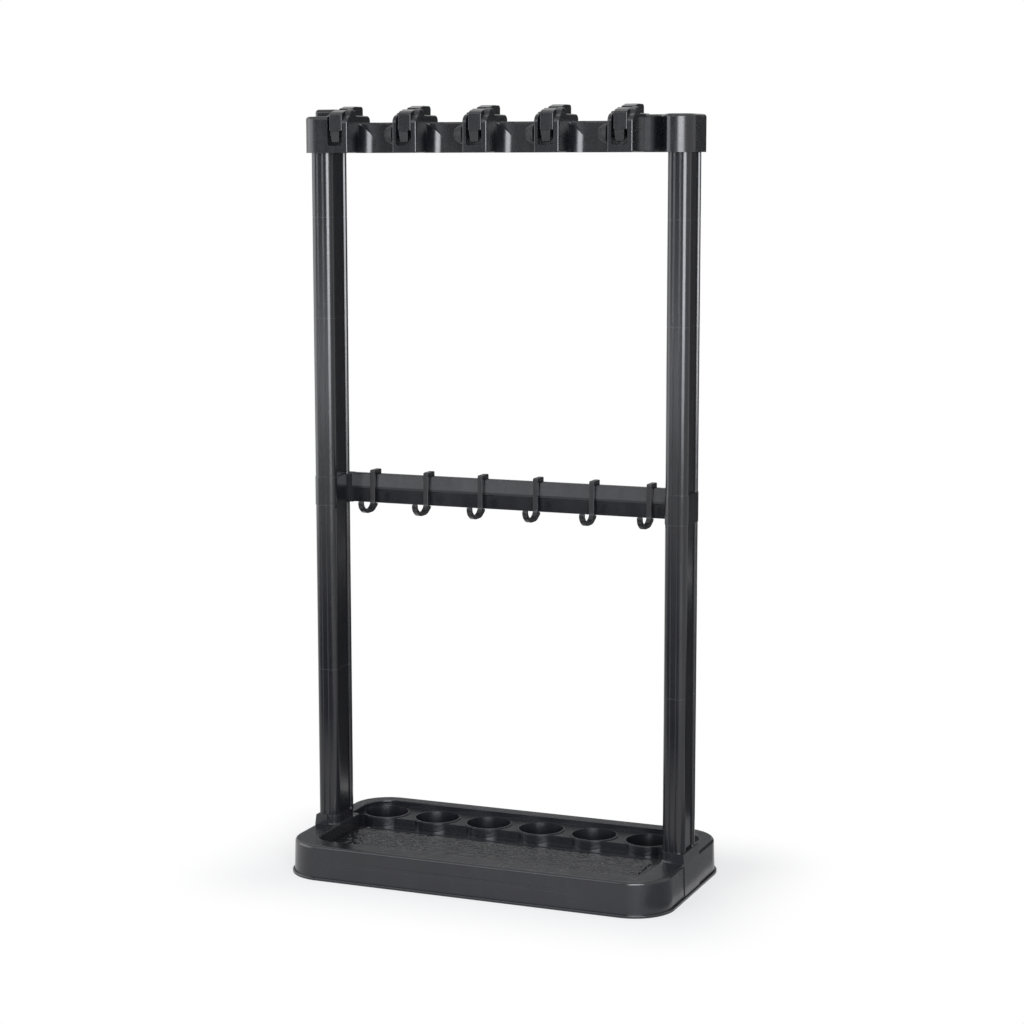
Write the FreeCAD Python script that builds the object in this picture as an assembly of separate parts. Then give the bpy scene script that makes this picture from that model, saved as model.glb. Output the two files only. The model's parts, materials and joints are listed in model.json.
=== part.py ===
import FreeCAD, Part
import math
import os

from FreeCAD import Vector

# Freestanding garden tool rack of moulded black plastic: a base tray with cups, two
# fluted posts in five lengths, a mid rail with sliding hooks, and a top bar with
# five lever clamps. Millimetres. X runs along the rack, Y to the back, Z up.
# The origin is the middle of the base's footprint, on the floor.

# Clearances between pieces
slip_gap = 0.3
bearing_gap = 0.05
slide_gap = 0.4

# Base tray: skirt and rim
base_length = 598.0
base_depth = 311.0
base_height = 51.0
base_corner = 62.0
flange_reach = 3.0
flange_height = 4.0
flange_round = 1.4
wall_draft = 1.5
rim_round = 4.5
skin = 3.0
ridge_height = 25.0
ridge_width = 5.0
ridge_swell = 1.3
ridge_length = 450.0
ridge_shift = -18.0

# Base tray: recess, ledge, cups and ribs
front_rim = 36.5
back_rim = 25.0
end_rim = 26.0
recess_corner = 28.0
recess_back_corner = 40.0
recess_step_round = 5.0
recess_edge_round = 2.2
recess_step_inset = 0.8
recess_step_back = 16.0
floor_top = 28.5
ledge_rise = 13.5
ledge_depth = 69.0
ledge_apron = 1.0
curb_width = 3.0
curb_rise = 1.0
curb_corner = 14.0
curb_end_gap = 4.5
curb_front_gap = 6.0
curb_back_gap = 16.0
cup_count = 6
cup_left_room = 37.0
cup_right_room = 77.0
cup_back_distance = 41.0
cup_mouth_radius = 33.5
cup_base_radius = 30.0
cup_lip_width = 3.3
cup_lip_rise = 1.2
cup_bottom = 5.0
cup_skin = 2.5
rib_thickness = 2.5
rib_foot = 2.0

# Posts: fluted section with a flat recessed web on both sides
post_width = 34.0
post_depth = 62.0
post_lobe = 12.5
post_web_recess = 3.0
post_web_slope = 1.5
post_web_round = 1.0
post_corner = 10.5
post_wall = 2.4
flute_offset = 4.4
flute_width = 2.6
flute_depth = 1.3
flute_round = 0.5
post_inset = 23.6
post_centre_y = -6.6
spigot_length = 18.0
spigot_plate = 3.0

# Post bosses on the base
boss_rise = 15.0
boss_inset = 0.5
boss_lip = 1.1
boss_lip_height = 2.0
boss_foot = 1.6
boss_foot_height = 2.0
foot_plug_inset = 4.5
foot_plug_depth = 50.0
end_panel_front = 40.0
end_panel_back = 27.0
end_panel_low_reach = 2.0
end_panel_high_reach = 5.5
end_panel_round = 1.0

# Heights of the joints above the floor
rail_bottom = 541.5
rail_height = 44.0
post_seam_foot = 291.0
post_seam_low = 819.5
post_seam_high = 968.0
bar_bottom = 1061.5

# Mid collars: the post's section with flat sides, between two post lengths
collar_proud = 0.7
collar_foot = 1.0
collar_head = -1.3
collar_plug = 20.0
collar_web = 3.0

# Necks that leave a fine groove at each joint along a post
neck_height = 0.8
neck_inset = 0.4

# Mid rail
rail_thickness = 12.0
rail_back_proud = 1.0
rail_wall = 2.2
rail_round = 1.5
rail_step_height = 20.6
rail_step_depth = 1.6
rail_lip_height = 4.0
rail_lip_round = 0.7
rail_bead_round = 4.0
rail_top_lean = 1.6
rail_foot_set = 2.6
rail_stub_length = 5.0
rail_stub_margin = 0.4
rail_stub_proud = 0.6
rail_tenon_length = 12.0

# Hooks: a strap over the rail, a heel under it and a curl to the front
hook_count = 6
hook_left_room = 36.2
hook_right_room = 31.2
hook_width = 7.6
hook_thickness = 6.2
hook_rest_gap = 0.1
hook_heel_gap = 0.4
hook_heel_reach = 5.0
hook_heel_run = 14.0
hook_heel_rise = 8.0
hook_heel_round = 4.0
hook_heel_end_round = 1.0
hook_sole_round = 24.0
hook_curl_reach = 47.9
hook_curl_drop = 11.8
hook_curl_thickness = 5.6
hook_toe_run = 13.0
hook_toe_rise = 11.0
hook_toe_round = 12.0
hook_throat_run = 9.0
hook_throat_rise = 6.0
hook_throat_round = 8.0
hook_seat_round = 14.0
hook_toe_inner_run = 9.5
hook_toe_inner_rise = 8.0
hook_tip_rise = 7.5
hook_back_leg = 15.0
hook_crown_round = 2.5
hook_edge_round = 0.8
hook_end_round = 1.5
hook_inner_round = 1.2

# Top bar
bar_height = 54.0
cap_height = 52.5
beam_height = 44.0
beam_depth = 26.0
beam_round = 2.5
bar_foot_round = 1.0
bar_front_overhang = 14.1
bar_back_overhang = 2.6
cap_corner = 24.0
cap_inner_wall = 4.0
cap_top_round = 4.5
bar_socket_depth = 38.0
bar_skin = 3.0
gusset_radius = 20.0
gusset_slope = 24.0
gusset_sink = 2.0
cap_sweep_start = 16.4
cap_sweep_length = 24.0
cap_sweep_foot_round = 25.0
cap_sweep_brow_round = 18.0
hump_length = 37.0
hump_depth = 34.0
hump_rise = 10.5
hump_end_inset = 9.0
hump_front_inset = 27.0
hump_corner = 6.0
hump_top_round = 5.0
hump_sink = 2.0

# Clamp housings
clamp_count = 5
clamp_first_inset = 37.5
clamp_last_inset = 84.3
housing_width = 38.2
housing_left_wall = 6.0
housing_front_wall = 5.0
housing_brow_round = 12.0
housing_rear_round = 8.0
housing_corner = 2.5
right_ear_radius = 11.7
right_ear_round = 2.0
left_ear_radius = 6.0
left_ear_round = 1.5
rest_front = 27.0
rest_back = 51.5
rest_crown = 16.4
rest_slope_start = 10.6
rest_front_round = 6.0
rest_back_round = 5.0
rest_edge_round = 1.2
rest_sink = 3.0
pocket_floor = 4.5
mouth_sill = 10.0
mouth_corner = 5.0

# Clamp levers, measured from the hinge axis
hinge_back = 19.7
hinge_below_top = 3.1
hinge_radius = 2.0
pin_seat = 4.0
lever_width = 20.0
lever_side_gap = 0.4
lever_left_gap = 3.8
lever_turning_gap = 1.4
lever_proud = 0.8
lever_barrel = 11.0
lever_collar = 8.0
lever_plate = 6.0
lever_brow_back = 5.5
lever_brow_rise = 8.0
lever_fold_rise = 5.0
lever_brow_round = 3.0
lever_underside = 7.0
lever_curl_start = 22.0
lever_curl_back = 3.0
lever_lip = 4.5
lever_lip_round = 1.5
lever_tongue_start = 19.0
lever_tongue_drop = 36.5
lever_tongue_width = 14.4
lever_tongue_tip_width = 11.5
lever_tongue_shift = -1.5
lever_shoulder_round = 2.0
lever_tip_round = 3.5
lever_edge_round = 1.2

# Grip pads
pad_radius = 13.5
pad_dome = 9.0
pad_face_radius = 7.5
pad_dome_round = 5.0
pad_rim_round = 1.5
pad_disc = 5.5
pad_travel = 3.0
pad_wall_gap = 0.5
pad_behind_front = 17.4
pad_above_bottom = 26.1
pad_shank_radius = 5.0
pad_shank_round = 0.8
pad_head_radius = 6.6
pad_head_length = 8.0
pad_head_round = 4.0
pad_head_gap = 0.6
cam_gap = 1.2
cam_finger_width = 5.0
cam_finger_thick = 3.0
cam_finger_drop = 27.0
cam_bevel_drop = 9.0
cam_bevel = 2.0
cam_edge_round = 0.3

# How far a cut runs past what it cuts, and how deep a raised detail is set into its wall
overrun = 5.0
joint_sink = 0.5

# Places worked out from the sizes above
rim_top = base_height
ledge_top = floor_top + ledge_rise
recess_end = base_length / 2 - end_rim
recess_front = -base_depth / 2 + front_rim
recess_back = base_depth / 2 - back_rim
cup_centre_y = recess_back - cup_back_distance
cup_first = -recess_end + cup_left_room
cup_pitch = (recess_end - cup_right_room - cup_first) / (cup_count - 1)
cup_lip_radius = cup_mouth_radius + cup_lip_width
post_x = base_length / 2 - post_inset
post_inner = post_x - post_width / 2
post_outer = post_x + post_width / 2
post_front = post_centre_y - post_depth / 2
post_back = post_centre_y + post_depth / 2
boss_top = rim_top + boss_rise
post_foot = boss_top - foot_plug_depth
recess_beside = post_inner + boss_inset - recess_step_inset
rail_top = rail_bottom + rail_height
collar_low = rail_bottom - collar_foot
collar_high = rail_top + collar_head
collar_inner = post_inner - collar_proud
rail_back = post_back + rail_back_proud
rail_front = rail_back - rail_thickness
rail_end = collar_inner - rail_stub_length
hook_first = -rail_end + hook_left_room
hook_pitch = (rail_end - hook_right_room - hook_first) / (hook_count - 1)
bar_top = bar_bottom + bar_height
cap_top = bar_bottom + cap_height
beam_top = bar_bottom + beam_height
bar_end = base_length / 2
bar_front = post_front - bar_front_overhang
bar_back = post_back + bar_back_overhang
beam_front = bar_back - beam_depth
cap_inner = post_inner - cap_inner_wall
hinge_y = bar_front + hinge_back
hinge_z = bar_top - hinge_below_top
clamp_room = base_length - clamp_first_inset - clamp_last_inset - housing_width
clamp_pitch = clamp_room / (clamp_count - 1)
pocket_width = lever_left_gap + lever_width + lever_side_gap
pad_stand_off = pad_travel + pad_wall_gap
pad_y = bar_front + pad_behind_front
pad_z = bar_bottom + pad_above_bottom


def place(normal, u, v, w):
    """Point from two outline coordinates and a place along the outline's normal."""
    if normal == "x":
        return Vector(w, u, v)
    if normal == "y":
        return Vector(u, w, v)
    return Vector(u, v, w)


def outline(corners, normal, at):
    """Closed wire through (u, v, radius) corners, each rounded by its radius."""
    ends = []
    count = len(corners)
    for i in range(count):
        u, v, radius = corners[i]
        here = Vector(u, v, 0)
        before = Vector(corners[i - 1][0], corners[i - 1][1], 0)
        after = Vector(corners[(i + 1) % count][0], corners[(i + 1) % count][1], 0)
        if radius <= 0:
            ends.append((here, None, here))
            continue
        to_before = (before - here).normalize()
        to_after = (after - here).normalize()
        half = to_before.getAngle(to_after) / 2
        reach = radius / math.tan(half)
        middle = (to_before + to_after).normalize() * (radius / math.sin(half) - radius)
        ends.append((here + to_before * reach, here + middle, here + to_after * reach))
    edges = []
    for i in range(count):
        start, middle, end = ends[i]
        next_start = ends[(i + 1) % count][0]
        if middle is not None:
            arc_points = [place(normal, p.x, p.y, at) for p in (start, middle, end)]
            edges.append(Part.Arc(*arc_points).toShape())
        if (next_start - end).Length > 1e-5:
            line_ends = [place(normal, p.x, p.y, at) for p in (end, next_start)]
            edges.append(Part.makeLine(*line_ends))
    return Part.Wire(edges)


def prism(corners, normal, low, high):
    """Solid with the rounded outline, from low to high along its normal."""
    face = Part.Face(outline(corners, normal, low))
    return face.extrude(place(normal, 0, 0, high - low))


def tapered(low_corners, high_corners, low, high):
    """Upright solid that changes evenly from one plan outline to another."""
    wires = [outline(low_corners, "z", low), outline(high_corners, "z", high)]
    return Part.makeLoft(wires, True, True)


def rod(start, direction, radius, length):
    """Cylinder from a point along a direction."""
    return Part.makeCylinder(radius, length, Vector(*start), Vector(*direction))


def rectangle(left, right, front, back, radius):
    """Corners of a rounded rectangle."""
    return [(left, front, radius), (right, front, radius), (right, back, radius), (left, back, radius)]


def block(left, right, front, back, low, high):
    """Plain box between six planes."""
    return Part.makeBox(right - left, back - front, high - low, Vector(left, front, low))


def joined(shapes):
    """One solid from several that meet."""
    return shapes[0].fuse(shapes[1:]).removeSplitter()


def softened(shape, radius, test):
    """Shape with the edges that pass the test rounded."""
    edges = [e for e in shape.Edges if test(e)]
    return shape.makeFillet(radius, edges)


def level(edge, z):
    """True for an edge that lies wholly at one height."""
    return all(abs(p.z - z) < 1e-4 for p in edge.discretize(5))


def mirrored(shape):
    """The same piece for the left end."""
    return shape.mirror(Vector(0, 0, 0), Vector(1, 0, 0))


def save(shape, name):
    """Write one piece as its own file."""
    solids = shape.Solids
    if not shape.isValid() or len(solids) != 1:
        raise ValueError("%s: valid %s, solids %d" % (name, shape.isValid(), len(solids)))
    solids[0].exportStep("parts/%s.step" % name)
    print("%s volume %.0f mm3" % (name, solids[0].Volume))


# Posts and what they stand in

def post_corners(inset, fluted, webbed):
    """Corners of the post section about its own middle, drawn in by inset."""
    half = post_width / 2 - inset
    deep = post_depth / 2 - inset
    web = half - post_web_recess
    lobe = post_depth / 2 - post_lobe + inset / 2
    corner = min(post_corner - inset, deep - lobe - post_web_round)
    run = [(-half, -deep, corner)]
    if fluted:
        for middle in (-flute_offset, flute_offset):
            run.append((middle - flute_width / 2, -deep, flute_round))
            run.append((middle, -deep + flute_depth, flute_round))
            run.append((middle + flute_width / 2, -deep, flute_round))
    run.append((half, -deep, corner))
    if webbed:
        run.append((half, -lobe, post_web_round))
        run.append((web, -lobe + post_web_slope, post_web_round))
        run.append((web, lobe - post_web_slope, post_web_round))
        run.append((half, lobe, post_web_round))
    return run + [(-u, -v, radius) for u, v, radius in run]


def post_solid(inset, fluted, low, high, webbed=True):
    """Post section of the right post from one height to another."""
    corners = post_corners(inset, fluted, webbed)
    return prism([(u + post_x, v + post_centre_y, r) for u, v, r in corners], "z", low, high)


def post_tube(low, high):
    """Hollow length of post."""
    inside = post_solid(post_wall, False, low - overrun, high + overrun)
    return post_solid(0, True, low, high).cut(inside)


def plugged_length(low, high):
    """Post length from one height to another, with the spigot that plugs into the length below."""
    tube = post_tube(low + spigot_plate, high)
    seam = post_solid(neck_inset, True, low, low + neck_height)
    plate = post_solid(0, True, low + neck_height, low + spigot_plate)
    spigot = post_solid(post_wall + slip_gap, False, low - spigot_length, low)
    bore = post_solid(2 * post_wall + slip_gap, False, low - spigot_length - overrun, low)
    return joined([tube, plate, seam, spigot.cut(bore)])


def foot_plug(grow, low, high):
    """Plug under the right post that stands in the base, grown on every side."""
    inset = foot_plug_inset - grow
    corners = rectangle(
        post_inner + inset,
        post_outer - inset,
        post_front + inset,
        post_back - inset,
        post_corner - inset,
    )
    return prism(corners, "z", low, high)


def foot_length():
    """Lowest post length with the plug that stands in the base."""
    tube = post_tube(boss_top + spigot_plate, post_seam_foot)
    plate = post_solid(0, True, boss_top, boss_top + spigot_plate)
    plug = foot_plug(0, post_foot, boss_top).cut(foot_plug(-post_wall, post_foot - overrun, boss_top))
    return joined([tube, plate, plug])


def post_socket(low, high):
    """Space that takes the end of the right post."""
    corners = rectangle(
        post_inner - slip_gap,
        post_outer + slip_gap,
        post_front - slip_gap,
        post_back + slip_gap,
        post_corner,
    )
    return prism(corners, "z", low, high)


# Base tray

def base_outline(inset):
    """Plan of the base, drawn in by inset."""
    half_length = base_length / 2 - inset
    half_depth = base_depth / 2 - inset
    return rectangle(-half_length, half_length, -half_depth, half_depth, base_corner - inset)


def recess_outline(grow):
    """Plan of the tray recess, which widens behind the post bosses."""
    beside = recess_beside + grow
    end = recess_end + grow
    front = recess_front - grow
    back = recess_back + grow
    step_back = post_back + recess_step_back - grow
    right_side = [
        (beside, front, recess_corner + grow),
        (beside, step_back, recess_step_round - grow),
        (end, step_back, recess_step_round + grow),
        (end, back, recess_back_corner + grow),
    ]
    left_side = [(-u, v, radius) for u, v, radius in reversed(right_side)]
    return right_side + left_side


def cup_centres():
    """Places of the cups along the rack."""
    return [cup_first + cup_pitch * i for i in range(cup_count)]


def boss_outline(grow):
    """Plan of the boss under the right post, grown on every side."""
    inset = boss_inset - grow
    return rectangle(
        post_inner + inset,
        post_outer - inset,
        post_front + inset,
        post_back - inset,
        post_corner - inset,
    )


def end_panel():
    """Flat panel that runs from the boss down the end wall."""
    high_x = base_length / 2 - end_panel_high_reach
    low_x = base_length / 2 - end_panel_low_reach
    corners = [
        (post_x, flange_height, 0),
        (low_x, flange_height, 0),
        (low_x - wall_draft, rim_top, 0),
        (high_x, boss_top, end_panel_round),
        (post_x, boss_top, 0),
    ]
    return prism(corners, "y", -end_panel_front, end_panel_back)


def boss():
    """Right post boss with its lips and the panel on the end wall, before the socket is cut."""
    core = prism(boss_outline(0), "z", floor_top, boss_top)
    lip = prism(boss_outline(boss_lip), "z", boss_top - boss_lip_height, boss_top)
    foot_top = rim_top + boss_foot_height
    foot = tapered(boss_outline(boss_foot), boss_outline(0), rim_top - joint_sink, foot_top)
    outside = prism(recess_outline(0), "z", floor_top, boss_top)
    foot = foot.cut(outside)
    return joined([core, lip, foot, end_panel()])


def ledge():
    """Raised ledge along the back of the recess with a scalloped front round the cups."""
    left = -recess_end
    front = recess_back - ledge_depth
    low = floor_top - skin / 2
    pieces = [prism(rectangle(left, recess_end, front, recess_back, 0), "z", low, ledge_top)]
    for x in cup_centres():
        pieces.append(rod((x, cup_centre_y, low), (0, 0, 1), cup_lip_radius + ledge_apron, ledge_top - low))
    return joined(pieces)


def underside():
    """Hollow under the base, leaving the walls of rim, floor, ledge, cups and bosses."""
    wall = flange_reach + skin
    low = tapered(base_outline(wall), base_outline(wall), -overrun, floor_top - skin)
    rim_space = prism(base_outline(wall + wall_draft), "z", -overrun, rim_top - skin)
    rim_space = rim_space.cut(prism(recess_outline(skin), "z", 0, rim_top))
    space = low.fuse(rim_space)
    keep = []
    for x in cup_centres():
        keep.append(rod((x, cup_centre_y, 0), (0, 0, 1), cup_mouth_radius + cup_skin, rim_top))
    for side in (-1, 1):
        shell = foot_plug(foot_plug_inset, post_foot - skin, rim_top)
        keep.append(shell if side > 0 else mirrored(shell))
    for x in cup_centres()[:-1]:
        middle = x + cup_pitch / 2
        left = middle - rib_thickness / 2
        keep.append(block(left, left + rib_thickness, -base_depth / 2, base_depth / 2, rib_foot, rim_top))
    front = -rib_thickness / 2
    keep.append(block(-base_length / 2, base_length / 2, front, front + rib_thickness, rib_foot, rim_top))
    return space.cut(keep[0].fuse(keep[1:]))


def base_tray():
    """Whole base moulding."""
    flange = prism(base_outline(0), "z", 0, flange_height)
    flange = softened(flange, flange_round, lambda e: level(e, flange_height))
    wall_low = base_outline(flange_reach)
    wall_high = base_outline(flange_reach + wall_draft)
    walls = tapered(wall_low, wall_high, flange_height / 4, rim_top)
    walls = softened(walls, rim_round, lambda e: level(e, rim_top))
    body = joined([flange, walls])
    recess = prism(recess_outline(0), "z", floor_top, rim_top + overrun)
    body = body.cut(recess)
    body = softened(body, recess_edge_round, lambda e: level(e, rim_top) and inside_rim(e))
    shelf = ledge().common(prism(recess_outline(joint_sink), "z", 0, rim_top))
    curb_low = floor_top - joint_sink
    curb_high = floor_top + curb_rise
    curb_end = recess_beside - curb_end_gap
    curb_front = recess_front + curb_front_gap
    curb_back = recess_back - ledge_depth - curb_back_gap
    curb_out = rectangle(-curb_end, curb_end, curb_front, curb_back, curb_corner)
    curb_in = rectangle(
        -curb_end + curb_width,
        curb_end - curb_width,
        curb_front + curb_width,
        curb_back - curb_width,
        curb_corner - curb_width,
    )
    curb = prism(curb_out, "z", curb_low, curb_high).cut(prism(curb_in, "z", curb_low, curb_high))
    wall_face = base_depth / 2 - flange_reach - wall_draft / 2
    ridge_left = ridge_shift - ridge_length / 2
    ridge_right = ridge_shift + ridge_length / 2
    arc = Part.Arc(
        Vector(ridge_left, -wall_face, ridge_height),
        Vector(ridge_shift, -wall_face - ridge_swell, ridge_height),
        Vector(ridge_right, -wall_face, ridge_height),
    ).toShape()
    inner = [
        Vector(ridge_right, -wall_face, ridge_height),
        Vector(ridge_right, -wall_face + skin / 2, ridge_height),
        Vector(ridge_left, -wall_face + skin / 2, ridge_height),
        Vector(ridge_left, -wall_face, ridge_height),
    ]
    lines = [Part.makeLine(inner[i], inner[i + 1]) for i in range(3)]
    ridge = Part.Face(Part.Wire([arc] + lines)).extrude(Vector(0, 0, ridge_width))
    right_boss = boss()
    body = joined([body, shelf, curb, ridge, right_boss, mirrored(right_boss)])
    lip_low = ledge_top - skin / 2
    lip_top = ledge_top + cup_lip_rise
    lips = []
    for x in cup_centres():
        lips.append(rod((x, cup_centre_y, lip_low), (0, 0, 1), cup_lip_radius, lip_top - lip_low))
    body = joined([body] + lips)
    body = body.cut(underside())
    for x in cup_centres():
        cavity = Part.makeCone(
            cup_base_radius,
            cup_mouth_radius,
            lip_top - cup_bottom,
            Vector(x, cup_centre_y, cup_bottom),
        )
        body = body.cut(cavity)
    socket = foot_plug(slip_gap, post_foot, boss_top + overrun)
    body = body.cut(socket.fuse(mirrored(socket)))
    return body.removeSplitter()


def inside_rim(edge):
    """True for an edge well inside the base's outer wall."""
    middle = edge.CenterOfMass
    margin = back_rim / 4
    return abs(middle.x) < recess_end + margin and recess_front - margin < middle.y < recess_back + margin


# Mid collars, rail and hooks

def rail_corners(front, margin):
    """Section of the rail, or of the stub that meets it."""
    return [
        (front, rail_bottom - margin, rail_round),
        (rail_back, rail_bottom - margin, rail_round),
        (rail_back, rail_top + margin, rail_round),
        (front, rail_top + margin, rail_round),
    ]


def rail_bore(inset, low, high):
    """Space inside the rail, drawn in by inset."""
    wall = rail_wall + inset
    front = rail_front + rail_foot_set + wall
    corners = [
        (front, rail_bottom + wall, rail_round),
        (rail_back - wall, rail_bottom + wall, rail_round),
        (rail_back - wall, rail_top - wall, rail_round),
        (front, rail_top - wall, rail_round),
    ]
    return prism(corners, "x", low, high)


def mid_collar():
    """Right collar: a swollen length between thin necks, with post plugs, a rail stub and a tenon."""
    neck = post_solid(neck_inset, True, collar_low, collar_high, False)
    band = post_solid(-collar_proud, True, collar_low + neck_height, collar_high - neck_height, False)
    plug_low = collar_low - collar_plug
    plug_high = collar_high + collar_plug
    plug = post_solid(post_wall + slip_gap, False, plug_low, plug_high)
    stub_corners = rail_corners(rail_front - rail_stub_proud, rail_stub_margin)
    stub = prism(stub_corners, "x", rail_end, post_x)
    upper_room = post_solid(-slip_gap, False, collar_high, rail_top + overrun, False)
    tenon = rail_bore(slip_gap, rail_end - rail_tenon_length, rail_end + collar_web)
    middle = (collar_low + collar_high) / 2
    bores = [
        post_solid(2 * post_wall + slip_gap, False, plug_low - overrun, middle - collar_web / 2),
        post_solid(2 * post_wall + slip_gap, False, middle + collar_web / 2, plug_high + overrun),
    ]
    body = joined([neck, band, stub.cut(upper_room), plug])
    return body.cut(bores[0].fuse(bores[1])).fuse(tenon).removeSplitter()


def mid_rail():
    """Rail between the collars: hollow, the lower half of its front face set back."""
    step = rail_bottom + rail_step_height
    corners = [
        (rail_front + rail_foot_set, rail_bottom, rail_round),
        (rail_back, rail_bottom, rail_round),
        (rail_back, rail_top, rail_round),
        (rail_front + rail_top_lean, rail_top, rail_round),
        (rail_front, step + rail_lip_height, rail_bead_round),
        (rail_front, step, rail_lip_round),
        (rail_front + rail_step_depth, step, rail_lip_round),
    ]
    body = prism(corners, "x", -rail_end, rail_end)
    return body.cut(rail_bore(0, -rail_end - overrun, rail_end + overrun))


def hook_centres():
    """Places of the hooks along the rail."""
    return [hook_first + hook_pitch * i for i in range(hook_count)]


def hook(x):
    """Hook that hangs over the rail, with a heel under it and a curl to the front."""
    front_in = rail_front - slide_gap
    front_out = front_in - hook_thickness
    back_in = rail_back + slide_gap
    back_out = back_in + hook_thickness
    crown_in = rail_top + hook_rest_gap
    crown_out = crown_in + hook_thickness
    leg = crown_out - hook_back_leg
    heel_back = rail_front + hook_heel_reach
    heel_top = rail_bottom - hook_heel_gap
    curl_front = rail_front - hook_curl_reach
    low = rail_bottom - hook_curl_drop
    inner_low = low + hook_curl_thickness
    tip_in = curl_front + hook_curl_thickness
    tip = rail_bottom + hook_tip_rise
    corners = [
        (back_out, leg, hook_end_round),
        (back_out, crown_out, hook_crown_round),
        (front_out, crown_out, hook_crown_round),
        (front_out, inner_low + hook_throat_rise, hook_throat_round),
        (front_out - hook_throat_run, inner_low, hook_seat_round),
        (tip_in + hook_toe_inner_run, inner_low, hook_seat_round),
        (tip_in, inner_low + hook_toe_inner_rise, hook_throat_round),
        (tip_in, tip, hook_end_round),
        (curl_front, tip, hook_end_round),
        (curl_front, low + hook_toe_rise, hook_toe_round),
        (curl_front + hook_toe_run, low, hook_sole_round),
        (heel_back - hook_heel_run, low, hook_sole_round),
        (heel_back, low + hook_heel_rise, hook_heel_round),
        (heel_back, heel_top, hook_heel_end_round),
        (front_in, heel_top, hook_inner_round),
        (front_in, crown_in, hook_inner_round),
        (back_in, crown_in, hook_inner_round),
        (back_in, leg, hook_end_round),
    ]
    left = x - hook_width / 2
    right = x + hook_width / 2
    body = prism(corners, "x", left, right)
    return softened(body, hook_edge_round, lambda e: on_side(e, left) or on_side(e, right))


def on_side(edge, x):
    """True for an edge that lies wholly at one place along the rack."""
    return all(abs(p.x - x) < 1e-4 for p in edge.discretize(5))


# Top bar

def housing_left(index):
    """Left face of a clamp housing; the first clamp is number one."""
    return -bar_end + clamp_first_inset + clamp_pitch * (index - 1)


def lever_middle(index):
    """Middle of a clamp lever's width."""
    return housing_left(index) + housing_left_wall + lever_left_gap + lever_width / 2


def housing(index):
    """Clamp housing before its pocket is cut, with an ear on each wall for the hinge pin."""
    left = housing_left(index)
    right = left + housing_width
    corners = [
        (bar_front, bar_bottom, bar_foot_round),
        (bar_back, bar_bottom, bar_foot_round),
        (bar_back, bar_top, housing_rear_round),
        (bar_front, bar_top, housing_brow_round),
    ]
    body = prism(corners, "x", left, right)
    body = softened(body, housing_corner, lambda e: near_front_edge(e, left, right))
    right_wall = housing_width - housing_left_wall - pocket_width
    right_ear = rod((right - right_wall, hinge_y, hinge_z), (1, 0, 0), right_ear_radius, right_wall)
    right_ear = softened(right_ear, right_ear_round, lambda e: on_side(e, right))
    left_ear = rod((left, hinge_y, hinge_z), (1, 0, 0), left_ear_radius, housing_left_wall)
    left_ear = softened(left_ear, left_ear_round, lambda e: on_side(e, left))
    return joined([body, right_ear, left_ear, rest(index)])


def near_front_edge(edge, left, right):
    """True for the long edges of a housing's two sides on the front and top."""
    points = edge.discretize(5)
    at_side = all(min(abs(p.x - left), abs(p.x - right)) < 1e-4 for p in points)
    rear = bar_back - housing_rear_round / 2
    middle = edge.CenterOfMass
    return at_side and middle.z > bar_bottom + 2 * bar_foot_round and middle.y < rear


def rest(index):
    """Raised block on a housing behind its lever, its top sloping up from the hinge."""
    middle = lever_middle(index)
    profile = [
        (0, -rest_sink, 0),
        (rest_back, -rest_sink, 0),
        (rest_back, rest_crown, rest_back_round),
        (rest_front, rest_crown, rest_front_round),
        (0, rest_slope_start, 0),
    ]
    profile = [(u + hinge_y, v + hinge_z, r) for u, v, r in profile]
    left = middle - lever_width / 2
    right = middle + lever_width / 2
    body = prism(profile, "x", left, right)
    above = bar_top + rest_edge_round
    return softened(body, rest_edge_round, lambda e: at_top_side(e, left, right, above))


def at_top_side(edge, left, right, above):
    """True for an edge on either side of a block that stays above a height."""
    on_either = on_side(edge, left) or on_side(edge, right)
    return on_either and all(p.z > above for p in edge.discretize(5))


def gusset(index):
    """Concave cradle between a housing's right side and the beam, its top sloping down."""
    side = housing_left(index) + housing_width
    left = side - gusset_sink
    right = side + gusset_radius
    front = beam_front - gusset_radius
    plan = [
        (left, front, 0),
        (side, front, 0),
        (side, beam_front, gusset_radius),
        (right, beam_front, 0),
        (right, beam_front + gusset_sink, 0),
        (left, beam_front + gusset_sink, 0),
    ]
    body = prism(plan, "z", bar_bottom, beam_top)
    slope = [
        (left, beam_top, 0),
        (left, beam_top + overrun, 0),
        (right, beam_top + overrun, 0),
        (right, beam_top - gusset_slope, 0),
    ]
    return body.cut(prism(slope, "y", front - overrun, beam_front))


def clamp_pocket(index):
    """Space in a housing for its lever, open to the top and to the front."""
    left = housing_left(index) + housing_left_wall
    right = left + pocket_width
    front = bar_front + housing_front_wall
    back = hinge_y + lever_barrel + lever_turning_gap
    room = block(left, right, front, back, bar_bottom + pocket_floor, bar_top + rest_crown)
    mouth = [
        (left, bar_top + overrun, 0),
        (right, bar_top + overrun, 0),
        (right, bar_bottom + mouth_sill, mouth_corner),
        (left, bar_bottom + mouth_sill, mouth_corner),
    ]
    return room.fuse(prism(mouth, "y", bar_front - overrun, front + overrun))


def left_cap():
    """Left end cap."""
    plan = [
        (-bar_end, bar_front, cap_corner),
        (-cap_inner, bar_front, 0),
        (-cap_inner, bar_back, 0),
        (-bar_end, bar_back, cap_corner / 2),
    ]
    body = prism(plan, "z", bar_bottom, cap_top)
    return softened(body, cap_top_round, lambda e: level(e, cap_top) and not on_side(e, -cap_inner))


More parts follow.
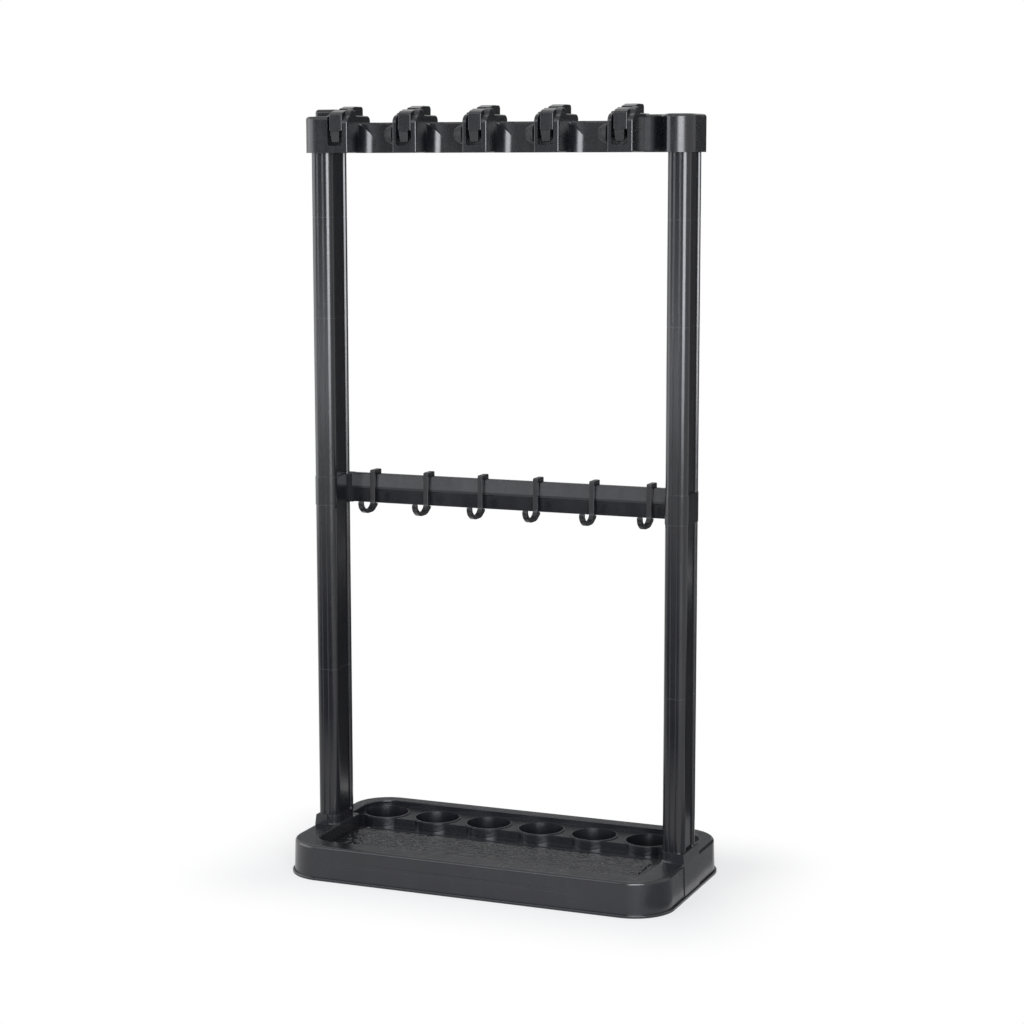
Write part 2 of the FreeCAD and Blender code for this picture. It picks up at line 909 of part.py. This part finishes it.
def right_cap():
    """Right end cap with the smooth run that leads to it from the fifth housing."""
    left = housing_left(clamp_count) + housing_width - gusset_sink
    sweep_left = cap_inner - cap_sweep_start
    sweep_right = sweep_left + cap_sweep_length
    plan = [
        (left, beam_front, 0),
        (sweep_left, beam_front, cap_sweep_foot_round),
        (sweep_right, bar_front, cap_sweep_brow_round),
        (bar_end, bar_front, cap_corner),
        (bar_end, bar_back, cap_corner / 2),
        (left, bar_back, 0),
    ]
    body = prism(plan, "z", bar_bottom, cap_top)
    return softened(body, cap_top_round, lambda e: level(e, cap_top) and not on_side(e, left))


def hump():
    """Raised block on the left cap."""
    left = -bar_end + hump_end_inset
    front = bar_front + hump_front_inset
    plan = rectangle(left, left + hump_length, front, front + hump_depth, hump_corner)
    top = cap_top + hump_rise
    body = prism(plan, "z", cap_top - hump_sink, top)
    return softened(body, hump_top_round, lambda e: level(e, top))


def beam():
    """Rear beam between the caps."""
    corners = [
        (beam_front, bar_bottom, bar_foot_round),
        (bar_back, bar_bottom, bar_foot_round),
        (bar_back, beam_top, beam_round),
        (beam_front, beam_top, beam_round),
    ]
    return prism(corners, "x", -cap_inner - joint_sink, cap_inner + joint_sink)


def beam_hollows():
    """Spaces cut into the beam from below, between the housings."""
    spaces = []
    for index in range(1, clamp_count + 1):
        left = housing_left(index) + housing_width
        right = housing_left(index + 1) if index < clamp_count else cap_inner - cap_inner_wall
        plan = rectangle(left, right, beam_front + bar_skin, bar_back - bar_skin, bar_skin / 2)
        spaces.append(prism(plan, "z", bar_bottom - overrun, beam_top - bar_skin))
    return spaces


def top_bar():
    """Whole top moulding: caps, beam and clamp housings."""
    numbers = range(1, clamp_count + 1)
    pieces = [beam(), left_cap(), right_cap(), hump()]
    pieces += [housing(i) for i in numbers]
    pieces += [gusset(i) for i in numbers if i < clamp_count]
    body = pieces[0].fuse(pieces[1:])
    socket = post_socket(bar_bottom - overrun, bar_bottom + bar_socket_depth)
    cuts = [socket, mirrored(socket)] + beam_hollows()
    for i in numbers:
        cuts.append(clamp_pocket(i))
        cuts.append(hinge_pin(i))
        if i > 1:
            start = (housing_left(i) - overrun, pad_y, pad_z)
            bore = pad_shank_radius + slip_gap
            cuts.append(rod(start, (1, 0, 0), bore, housing_left_wall + 2 * overrun))
    return body.cut(cuts[0].fuse(cuts[1:])).removeSplitter()


# Clamp levers, pins and pads

def lever(index):
    """Clamp lever: front plate with a curled tongue, a barrel on the hinge and a cam finger."""
    middle = lever_middle(index)
    half = lever_width / 2
    front = -(hinge_back + lever_proud)
    tip = -lever_tongue_drop
    lip = front + lever_curl_back
    profile = [
        (lip, tip, lever_lip_round),
        (lip + lever_lip, tip, lever_lip_round),
        (front + lever_plate, -lever_curl_start, lever_plate),
        (front + lever_plate, -lever_underside, lever_plate / 2),
        (0, -lever_underside, 0),
        (0, lever_barrel, 0),
        (front + lever_brow_back, lever_brow_rise, lever_brow_round),
        (front, lever_fold_rise, lever_brow_round),
        (front, -lever_curl_start, lever_plate),
    ]
    profile = [(u + hinge_y, v + hinge_z, r) for u, v, r in profile]
    body = prism(profile, "x", middle - half, middle + half)
    body = softened(body, lever_edge_round, lambda e: lever_rim(e, middle - half, middle + half))
    left_root = lever_tongue_shift - lever_tongue_width / 2
    right_root = lever_tongue_shift + lever_tongue_width / 2
    left_tip = lever_tongue_shift - lever_tongue_tip_width / 2
    right_tip = lever_tongue_shift + lever_tongue_tip_width / 2
    face = [
        (-half, lever_barrel + overrun, 0),
        (half, lever_barrel + overrun, 0),
        (half, -lever_tongue_start, lever_shoulder_round / 2),
        (right_root, -lever_tongue_start, lever_shoulder_round / 2),
        (right_tip, tip, lever_tip_round),
        (left_tip, tip, lever_tip_round),
        (left_root, -lever_tongue_start, lever_shoulder_round / 2),
        (-half, -lever_tongue_start, lever_shoulder_round / 2),
    ]
    face = [(u + middle, v + hinge_z, r) for u, v, r in face]
    body = body.common(prism(face, "y", bar_front - overrun, bar_back))
    barrel = rod((middle - half, hinge_y, hinge_z), (1, 0, 0), lever_barrel, lever_width)
    collar_start = housing_left(index) + housing_left_wall + lever_side_gap
    collar = rod((collar_start, hinge_y, hinge_z), (1, 0, 0), lever_collar, middle - collar_start)
    pieces = [body, barrel, collar]
    if index > 1:
        pieces.append(cam_finger(index))
    bore_start = (collar_start - overrun, hinge_y, hinge_z)
    bore_length = pocket_width + 2 * overrun
    bore = rod(bore_start, (1, 0, 0), hinge_radius + bearing_gap, bore_length)
    return joined(pieces).cut(bore)


def lever_rim(edge, low, high):
    """True for the side edges of the lever's front and brow."""
    middle = edge.CenterOfMass
    outside = middle.y < bar_front + lever_plate / 3 or middle.z > hinge_z + lever_fold_rise
    return outside and (on_side(edge, low) or on_side(edge, high))


def cam_finger(index):
    """Finger under a lever that stands behind the end of the grip pad's head."""
    head_end = housing_left_wall + pad_head_gap + pad_head_length
    left = housing_left(index) + head_end + cam_gap
    low = hinge_z - cam_finger_drop
    top = hinge_z - lever_underside
    corners = [
        (left + cam_bevel, low, cam_edge_round),
        (left + cam_finger_thick, low, cam_edge_round),
        (left + cam_finger_thick, top, 0),
        (left, top, 0),
        (left, low + cam_bevel_drop, cam_edge_round),
    ]
    return prism(corners, "y", pad_y - cam_finger_width / 2, pad_y + cam_finger_width / 2)


def hinge_pin(index):
    """Pin that a lever turns on, seated in both walls of the housing."""
    start = (housing_left(index) + housing_left_wall - pin_seat, hinge_y, hinge_z)
    return rod(start, (1, 0, 0), hinge_radius, pocket_width + 2 * pin_seat)


def grip_pad(index):
    """Domed pad on a shank through the housing's left wall, in its place with the lever shut."""
    left = housing_left(index)
    disc = left - pad_stand_off
    tip = disc - pad_disc - pad_dome
    head = left + housing_left_wall + pad_head_gap
    profile = [
        (tip, 0, 0),
        (tip, pad_face_radius, pad_dome_round),
        (disc - pad_disc, pad_radius, pad_rim_round),
        (disc, pad_radius, pad_rim_round),
        (disc, pad_shank_radius, pad_shank_round),
        (head, pad_shank_radius, 0),
        (head, pad_head_radius, pad_head_round),
        (head + pad_head_length, pad_head_radius, pad_head_round),
        (head + pad_head_length, 0, 0),
    ]
    profile = [(u, v + pad_z, r) for u, v, r in profile]
    face = Part.Face(outline(profile, "y", pad_y))
    return face.revolve(Vector(0, pad_y, pad_z), Vector(1, 0, 0), 360)


# Write every piece

os.makedirs("parts", exist_ok=True)

save(base_tray(), "base_tray")

for piece, name in (
    (foot_length(), "foot_post"),
    (plugged_length(post_seam_foot, collar_low), "lower_post"),
    (post_tube(collar_high, post_seam_low), "upper_post"),
    (plugged_length(post_seam_low, post_seam_high), "short_post"),
    (plugged_length(post_seam_high, bar_bottom + bar_socket_depth), "top_post"),
    (mid_collar(), "mid_collar"),
):
    save(piece, name + "_right")
    save(mirrored(piece), name + "_left")

save(mid_rail(), "mid_rail")
for number, x in enumerate(hook_centres(), 1):
    save(hook(x), "hook_%d" % number)

save(top_bar(), "top_bar")
for number in range(1, clamp_count + 1):
    save(lever(number), "clamp_lever_%d" % number)
    save(hinge_pin(number), "hinge_pin_%d" % number)
    if number > 1:
        save(grip_pad(number), "grip_pad_%d" % number)
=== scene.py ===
import json
import math
import random

import bmesh
import bpy
from mathutils import Matrix, Vector, noise


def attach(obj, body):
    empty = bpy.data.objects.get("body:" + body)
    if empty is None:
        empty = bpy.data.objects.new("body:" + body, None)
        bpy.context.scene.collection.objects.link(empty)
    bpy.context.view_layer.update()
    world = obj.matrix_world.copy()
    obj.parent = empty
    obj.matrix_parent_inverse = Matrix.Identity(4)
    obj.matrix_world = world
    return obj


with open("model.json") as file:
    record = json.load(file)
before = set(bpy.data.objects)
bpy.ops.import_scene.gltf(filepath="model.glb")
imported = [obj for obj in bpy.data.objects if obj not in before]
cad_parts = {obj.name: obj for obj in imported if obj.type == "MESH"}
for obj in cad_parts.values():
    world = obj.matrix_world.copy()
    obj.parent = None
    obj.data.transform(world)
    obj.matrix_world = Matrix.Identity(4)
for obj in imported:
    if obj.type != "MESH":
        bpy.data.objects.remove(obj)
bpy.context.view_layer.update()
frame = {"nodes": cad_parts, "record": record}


# Shader expressions

class Value:
    """One socket of a finish; arithmetic on it adds Math nodes."""

    def __init__(self, finish, socket):
        self.finish = finish
        self.socket = socket

    def __add__(self, other):
        return self.finish.maths("ADD", self, other)

    __radd__ = __add__

    def __mul__(self, other):
        return self.finish.maths("MULTIPLY", self, other)

    __rmul__ = __mul__

    def __sub__(self, other):
        return self.finish.maths("SUBTRACT", self, other)

    def __rsub__(self, other):
        return self.finish.maths("SUBTRACT", other, self)

    def __truediv__(self, other):
        return self.finish.maths("DIVIDE", self, other)

    def __pow__(self, other):
        return self.finish.maths("POWER", self, other)


class Finish:
    """A material under construction."""

    def __init__(self, name):
        self.material = bpy.data.materials.new(name)
        self.material.use_nodes = True
        self.tree = self.material.node_tree
        self.tree.nodes.clear()
        self.shader = self.tree.nodes.new("ShaderNodeBsdfPrincipled")
        self.output = self.tree.nodes.new("ShaderNodeOutputMaterial")
        self.tree.links.new(self.shader.outputs[0], self.output.inputs["Surface"])
        place = self.tree.nodes.new("ShaderNodeTexCoord")
        self.place = Value(self, place.outputs["Object"])

    def put(self, socket, value):
        """Link or set one input socket."""
        if isinstance(value, Value):
            self.tree.links.new(value.socket, socket)
        else:
            socket.default_value = value

    def add(self, kind, settings=None, output=0, **sockets):
        """Add a node: its settings first, then the values or links of its sockets."""
        node = self.tree.nodes.new("ShaderNode" + kind)
        for name, value in (settings or {}).items():
            setattr(node, name, value)
        for name, value in sockets.items():
            key = int(name[1:]) if name[0] == "i" and name[1:].isdigit() else name.replace("_", " ")
            self.put(node.inputs[key], value)
        return Value(self, node.outputs[output])

    def maths(self, operation, first, second=0.0):
        return self.add("Math", {"operation": operation}, i0=first, i1=second)

    def clamped(self, value):
        return self.add("Math", {"operation": "MULTIPLY", "use_clamp": True}, i0=value, i1=1.0)

    def beyond(self, side, half):
        """How far a place lies outside a pair of walls at plus and minus half, or zero."""
        parts = self.add("SeparateXYZ", output=side, Vector=self.place)
        return self.maths("MAXIMUM", self.maths("ABSOLUTE", parts) - half, 0.0)

    def noise(self, place, scale, detail=4.0, roughness=0.55, distortion=0.0):
        return self.add("TexNoise", Vector=place, Scale=scale, Detail=detail, Roughness=roughness, Distortion=distortion)

    def stretched(self, factors, turn=(0.0, 0.0, 0.0)):
        """The object's own place, scaled along each axis."""
        return self.add("Mapping", Vector=self.place, Scale=factors, Rotation=turn)

    def blend(self, share, first, second):
        """Colour between two colours."""
        node = self.tree.nodes.new("ShaderNodeMix")
        node.data_type = "RGBA"
        self.put(node.inputs["Factor"], share)
        self.put(node.inputs[6], first)
        self.put(node.inputs[7], second)
        return Value(self, node.outputs[2])

    def worn_and_highlit_edge(self, radius, low, high):
        """Near one on sharp outer edges, zero on flats."""
        plain = self.add("NewGeometry", output="Normal")
        eased = self.add("Bevel", {"samples": 6}, Radius=radius)
        node = self.tree.nodes.new("ShaderNodeVectorMath")
        node.operation = "DOT_PRODUCT"
        self.put(node.inputs[0], plain)
        self.put(node.inputs[1], eased)
        turned = 1.0 - Value(self, node.outputs["Value"])
        return self.add("MapRange", {"clamp": True}, Value=turned, From_Min=low, From_Max=high)

    def relief(self, height, depth, distance):
        """Bump that feeds the shader's normal."""
        normal = self.add("Bump", Height=height, Strength=depth, Distance=distance)
        self.put(self.shader.inputs["Normal"], normal)

    def finish(self, colour, roughness, specular=0.5, coat=0.0, coat_roughness=0.2):
        inputs = self.shader.inputs
        self.put(inputs["Base Color"], colour)
        self.put(inputs["Roughness"], roughness)
        inputs["Specular IOR Level"].default_value = specular
        inputs["Coat Weight"].default_value = coat
        inputs["Coat Roughness"].default_value = coat_roughness
        return self.material


# Finishes

def moulded_plastic(name, dark, pale, grain, gloss, scuff_share=0.5, coat=0.0):
    """Charcoal plastic as it leaves the mould, a little scuffed where hands and tools touch it; its paler sharp edges
    are part wear, part painted highlight.
    """
    surface = Finish(name)
    clouds = surface.noise(surface.place, 9.0, detail=3.0)
    flow = surface.noise(surface.stretched((38.0, 38.0, 5.0)), 1.0, detail=4.0, roughness=0.6)
    mottle = surface.noise(surface.place, 160.0, detail=3.0, roughness=0.6)
    texture = surface.noise(surface.place, grain, detail=2.0, roughness=0.5)
    peel = surface.noise(surface.place, grain / 7.0, detail=2.0)
    scratches = surface.noise(surface.stretched((900.0, 60.0, 60.0), (0.3, 0.5, 0.2)), 1.0, detail=2.0)
    fine = surface.clamped((scratches - 0.68) * 9.0)
    # Sharp-edge mask, used both for edge wear and for a painted edge highlight
    edges = surface.worn_and_highlit_edge(0.0012, 0.02, 0.22)
    dust = surface.clamped((clouds * 0.6 + flow * 0.4 - 0.42) * 3.2)
    tone = surface.clamped(clouds * 0.35 + flow * 0.35 + mottle * 0.3)
    base = surface.blend(tone, dark, pale)
    # Sharp edges turn paler, partly from wear and partly as a painted highlight; the fine scratches are real scuffs
    rubbed_and_highlit = surface.blend(surface.clamped(edges * 0.55 + fine * 0.18 * scuff_share), base, (0.05, 0.0495, 0.055, 1.0))
    colour = surface.blend(dust * 0.05, rubbed_and_highlit, (0.06, 0.059, 0.06, 1.0))
    rough = gloss + (mottle - 0.5) * 0.10 + (flow - 0.5) * 0.14 + dust * 0.06 - edges * 0.05 + fine * 0.06
    surface.relief(texture * 0.7 + peel * 0.6 + flow * 0.25 - fine * 0.3, 0.12, 0.0003)
    return surface.finish(colour, surface.clamped(rough), coat=coat)


def pad_rubber():
    """Matt black rubber with a bloom on it."""
    surface = Finish("matt_black_rubber")
    bloom = surface.noise(surface.place, 60.0, detail=4.0, roughness=0.6)
    pores = surface.noise(surface.place, 2600.0, detail=2.0)
    colour = surface.blend(surface.clamped((bloom - 0.4) * 2.2), (0.011, 0.011, 0.012, 1.0), (0.03, 0.03, 0.031, 1.0))
    surface.relief(pores + bloom * 0.5, 0.3, 0.0003)
    return surface.finish(colour, 0.58 + (bloom - 0.5) * 0.2, specular=0.35)


def pin_steel():
    """Blackened steel rod with drawn lines along it."""
    surface = Finish("blackened_steel")
    drawn = surface.noise(surface.stretched((30.0, 1800.0, 1800.0)), 1.0, detail=3.0)
    spots = surface.noise(surface.place, 420.0, detail=3.0)
    colour = surface.blend(surface.clamped((spots - 0.35) * 2.0), (0.09, 0.09, 0.095, 1.0), (0.22, 0.215, 0.21, 1.0))
    surface.put(surface.shader.inputs["Metallic"], 1.0)
    surface.relief(drawn, 0.12, 0.0002)
    return surface.finish(colour, 0.34 + (spots - 0.5) * 0.22 + (drawn - 0.5) * 0.1)


base_plastic = moulded_plastic("base_plastic_satin", (0.0062, 0.0064, 0.0084, 1.0), (0.0112, 0.0114, 0.0145, 1.0), 2300.0, 0.22)
stone_plastic = moulded_plastic("tray_stone_satin", (0.004, 0.0042, 0.0054, 1.0), (0.0095, 0.0098, 0.012, 1.0), 2300.0, 0.20)
post_plastic = moulded_plastic("post_plastic_satin", (0.0040, 0.0042, 0.0058, 1.0), (0.0072, 0.0074, 0.0100, 1.0), 2700.0, 0.17)
bar_plastic = moulded_plastic("bar_plastic_satin", (0.0036, 0.0038, 0.0052, 1.0), (0.0068, 0.0070, 0.0094, 1.0), 2500.0, 0.25)
clip_plastic = moulded_plastic("clip_plastic_satin", (0.0036, 0.0038, 0.005, 1.0), (0.0070, 0.0072, 0.0092, 1.0), 2900.0, 0.28, 1.0)
rubber = pad_rubber()
steel = pin_steel()

finishes = {
    "base_plastic": base_plastic,
    "post_plastic": post_plastic,
    "bar_plastic": bar_plastic,
    "clip_plastic": clip_plastic,
    "pad_rubber": rubber,
    "pin_steel": steel,
}


for subpart in frame["record"]["subparts"]:
    node = frame["nodes"][subpart["node"]]
    node.data.materials.clear()
    node.data.materials.append(finishes[subpart["material_slot"]])


# Stone pattern on the tray floor

MM = 0.001
floor_panel = {"left": -253, "right": 226, "front": -112, "back": 33, "top": 28.5, "corner": 12, "step": 1.2}


def inside_panel(x, y):
    """How far a point lies inside the panel's rounded outline, in millimetres."""
    corner = floor_panel["corner"]
    across = max(floor_panel["left"] + corner - x, x - floor_panel["right"] + corner)
    along = max(floor_panel["front"] + corner - y, y - floor_panel["back"] + corner)
    if across > 0 and along > 0:
        return corner - math.hypot(across, along)
    return corner - max(across, along)


def stone_height(x, y):
    """Flat-topped irregular stones with narrow joints between them, in millimetres."""
    wander = noise.noise_vector(Vector((x / 26, y / 26, 3.0)))
    point = Vector(((x + 0.5 * y) / 12.5 + wander.x * 0.4, y / 8.0 + wander.y * 0.4, 0.7))
    near = noise.voronoi(point)[0]
    joint = min(max((near[1] - near[0]) / 0.18, 0.0), 1.0)
    tilt = noise.noise(Vector((x / 6, y / 5, 8.0))) * 0.45
    grit = noise.noise(Vector((x / 2.4, y / 2.4, 1.0))) * 0.22
    return 0.68 + 1.35 * joint * joint * (3 - 2 * joint) + tilt + grit


def tray_stones():
    """The textured panel of the tray floor, one closed sheet that rests on the tray."""
    step = floor_panel["step"]
    columns = int((floor_panel["right"] - floor_panel["left"]) / step)
    rows = int((floor_panel["back"] - floor_panel["front"]) / step)
    mesh = bmesh.new()
    grid = {}
    for i in range(columns + 1):
        for j in range(rows + 1):
            x = floor_panel["left"] + i * step
            y = floor_panel["front"] + j * step
            depth = inside_panel(x, y)
            if depth < 0:
                continue
            edge = min(depth / 2.5, 1.0)
            z = floor_panel["top"] + stone_height(x, y) * edge
            grid[i, j] = mesh.verts.new((x * MM, y * MM, z * MM))
    for i in range(columns):
        for j in range(rows):
            ring = [grid.get(key) for key in ((i, j), (i + 1, j), (i + 1, j + 1), (i, j + 1))]
            ring = [vertex for vertex in ring if vertex]
            if len(ring) > 2:
                mesh.faces.new(ring)
    data = bpy.data.meshes.new("tray_stones")
    mesh.to_mesh(data)
    mesh.free()
    data.materials.append(stone_plastic)
    for polygon in data.polygons:
        polygon.use_smooth = True
    stones = bpy.data.objects.new("tray_stones", data)
    bpy.context.scene.collection.objects.link(stones)
    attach(stones, "rack")


tray_stones()


# Floor, light and camera

frame_half = (0.29, 0.145)


def studio_floor():
    """White floor that runs out of sight, white to the camera but for the rack's own shadow."""
    surface = Finish("studio_floor")
    grain = surface.noise(surface.place, 40.0, detail=3.0)
    surface.finish(surface.blend(grain, (0.80, 0.80, 0.81, 1.0), (0.82, 0.82, 0.82, 1.0)), 0.9, specular=0.05)
    paths = surface.add("LightPath").socket.node.outputs
    seen = surface.clamped(Value(surface, paths["Is Camera Ray"]) + Value(surface, paths["Is Glossy Ray"])
                           + Value(surface, paths["Is Transmission Ray"]))
    across = surface.beyond("X", frame_half[0])
    along = surface.beyond("Y", frame_half[1])
    far = surface.add("MapRange", {"clamp": True, "interpolation_type": "SMOOTHSTEP"},
                      Value=(across * across + along * along) ** 0.5, From_Min=0.0, From_Max=0.19, To_Min=0.60, To_Max=1.0)
    glow = surface.add("Emission", output="Emission", Color=(1.0, 1.0, 1.0, 1.0), Strength=1.0)
    both = surface.add("MixShader", output="Shader", i0=seen * far, i1=Value(surface, surface.shader.outputs[0]), i2=glow)
    surface.tree.links.new(both.socket, surface.output.inputs["Surface"])
    mesh = bmesh.new()
    bmesh.ops.create_grid(mesh, x_segments=2, y_segments=2, size=14.0)
    data = bpy.data.meshes.new("studio_floor")
    mesh.to_mesh(data)
    mesh.free()
    data.materials.append(surface.material)
    ground = bpy.data.objects.new("studio_floor", data)
    bpy.context.scene.collection.objects.link(ground)


def white_room():
    """White backdrop for the camera and for reflections, softer light for everything else."""
    world = bpy.data.worlds.new("white_room")
    world.use_nodes = True
    tree = world.node_tree
    tree.nodes.clear()
    path = tree.nodes.new("ShaderNodeLightPath")
    total = None
    for name in ("Is Camera Ray", "Is Glossy Ray", "Is Transmission Ray"):
        joined = tree.nodes.new("ShaderNodeMath")
        joined.use_clamp = True
        tree.links.new(path.outputs[name], joined.inputs[0])
        if total:
            tree.links.new(total, joined.inputs[1])
        else:
            joined.inputs[1].default_value = 0.0
        total = joined.outputs[0]
    strength = tree.nodes.new("ShaderNodeMapRange")
    strength.inputs["To Min"].default_value = 0.3
    strength.inputs["To Max"].default_value = 1.0
    tree.links.new(total, strength.inputs["Value"])
    background = tree.nodes.new("ShaderNodeBackground")
    background.inputs["Color"].default_value = (1.0, 1.0, 1.0, 1.0)
    tree.links.new(strength.outputs["Result"], background.inputs["Strength"])
    output = tree.nodes.new("ShaderNodeOutputWorld")
    tree.links.new(background.outputs[0], output.inputs["Surface"])
    bpy.context.scene.world = world


def softbox(name, place, aim, width, height, power):
    light = bpy.data.lights.new(name, "AREA")
    light.shape = "RECTANGLE"
    light.size = width
    light.size_y = height
    light.energy = power
    light.color = (0.93, 0.945, 1.0)
    lamp = bpy.data.objects.new(name, light)
    bpy.context.scene.collection.objects.link(lamp)
    lamp.location = place
    lamp.rotation_euler = (Vector(aim) - Vector(place)).to_track_quat("-Z", "Y").to_euler()
    lamp.visible_camera = False


def black_flag(name, place, aim, width, height, shade=0.1):
    """Dark studio card that only the rack's reflections show."""
    surface = Finish(name)
    felt = surface.noise(surface.place, 30.0)
    low, high = 0.8 * shade, 1.2 * shade
    surface.finish(surface.blend(felt, (low, low, low, 1.0), (high, high, high, 1.0)), 0.95, specular=0.0)
    mesh = bmesh.new()
    bmesh.ops.create_grid(mesh, x_segments=1, y_segments=1, size=0.5)
    data = bpy.data.meshes.new(name)
    mesh.to_mesh(data)
    mesh.free()
    data.materials.append(surface.material)
    card = bpy.data.objects.new(name, data)
    bpy.context.scene.collection.objects.link(card)
    card.scale = (width, height, 1.0)
    card.location = place
    card.rotation_euler = (Vector(aim) - Vector(place)).to_track_quat("-Z", "Y").to_euler()
    card.visible_camera = False
    card.visible_shadow = False
    card.visible_diffuse = False


studio_floor()
white_room()
softbox("front_softbox", (2.2, -4.1, 1.4), (0.1, 0.0, 0.8), 3.2, 2.3, 300.0)
softbox("left_softbox", (-2.7, -0.9, 1.1), (0.0, 0.0, 0.6), 2.6, 2.0, 40.0)
softbox("key_softbox", (-1.5, -3.2, 2.3), (0.0, 0.0, 0.6), 1.6, 1.2, 18.0)
softbox("rail_softbox", (-0.64, -1.5, 0.62), (0.0, 0.0, 0.6), 1.2, 0.24, 1.5)
softbox("top_softbox", (0.2, 0.3, 3.0), (0.0, 0.0, 0.0), 1.8, 1.4, 12.0)
black_flag("right_back_flag", (1.15, 2.6, 0.9), (0.0, 0.0, 0.7), 1.9, 2.4)
black_flag("low_right_flag", (0.7, 1.4, 0.01), (0.7, 1.4, -1.0), 1.9, 2.1)
black_flag("front_left_flag", (-2.0, -4.8, 1.72), (0.0, 0.0, 1.1), 4.6, 1.6)
black_flag("low_back_flag", (-1.25, 3.0, 1.0), (0.0, 0.0, 0.1), 3.2, 1.2, 0.25)
black_flag("base_side_flag", (0.53, 0.15, 0.004), (0.53, 0.15, -1.0), 0.44, 0.7, 0.45)
black_flag("low_front_flag", (-0.7, -1.6, 0.01), (-0.7, -1.6, -1.0), 2.0, 1.8)

lens = bpy.data.cameras.new("photo_camera")
lens.sensor_width = 36.0
lens.lens = 85.17
lens.clip_end = 60.0
camera = bpy.data.objects.new("photo_camera", lens)
camera.location = (1.3432, -3.2443, 1.0467)
camera.rotation_euler = (math.radians(81.802), math.radians(0.064), math.radians(22.29))
bpy.context.scene.collection.objects.link(camera)
bpy.context.scene.camera = camera

bpy.context.scene.view_settings.view_transform = "Standard"


# Bring the scene up to date


bpy.context.view_layer.update()
